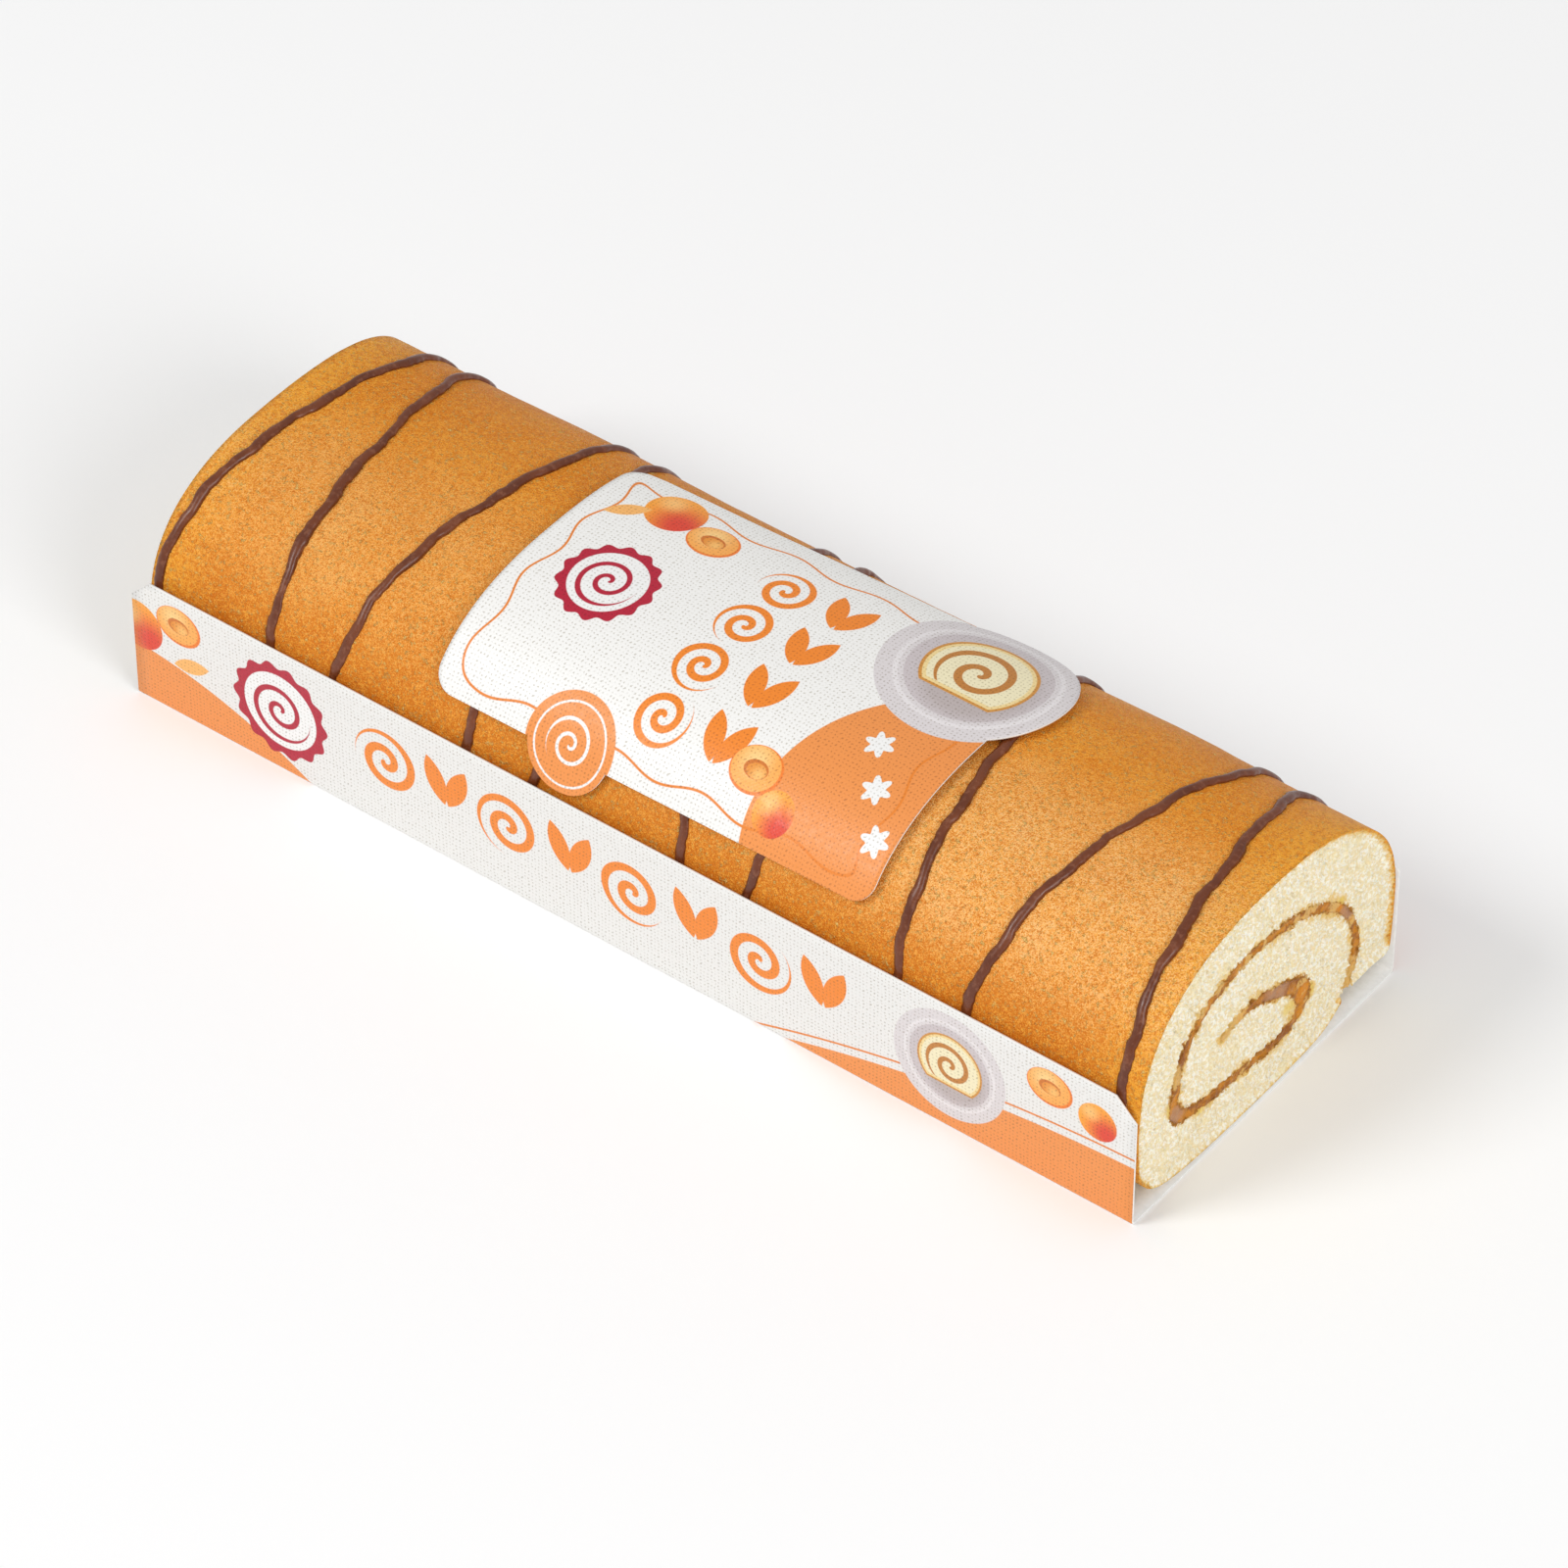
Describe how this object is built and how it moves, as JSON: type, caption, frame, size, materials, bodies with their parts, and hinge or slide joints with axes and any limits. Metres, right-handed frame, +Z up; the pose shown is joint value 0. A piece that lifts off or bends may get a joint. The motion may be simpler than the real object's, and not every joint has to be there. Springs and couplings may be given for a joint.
{
  "type": "swiss roll cake",
  "caption": "Rolled sponge cake with a spiral jam filling and chocolate drizzle, lying in an open card tray under a wrapped card label.",
  "frame": {"origin": "centre of the tray's footprint, on the underside of its floor", "axes": "+X along the roll towards the cut end with the open seam, -Y towards the front wall, +Z up"},
  "size_m": [0.255, 0.09, 0.0593],
  "materials": {
    "sponge": "matte baked sponge with cream crumb and glossy chocolate drizzle",
    "jam": "sticky, slightly translucent",
    "label_card": "printed satin card",
    "tray_card": "printed satin card"
  },
  "bodies": {
    "root": {"sponge": "sponge", "jam_filling": "jam", "label": "label_card", "tray": "tray_card"}
  },
  "joints": []
}
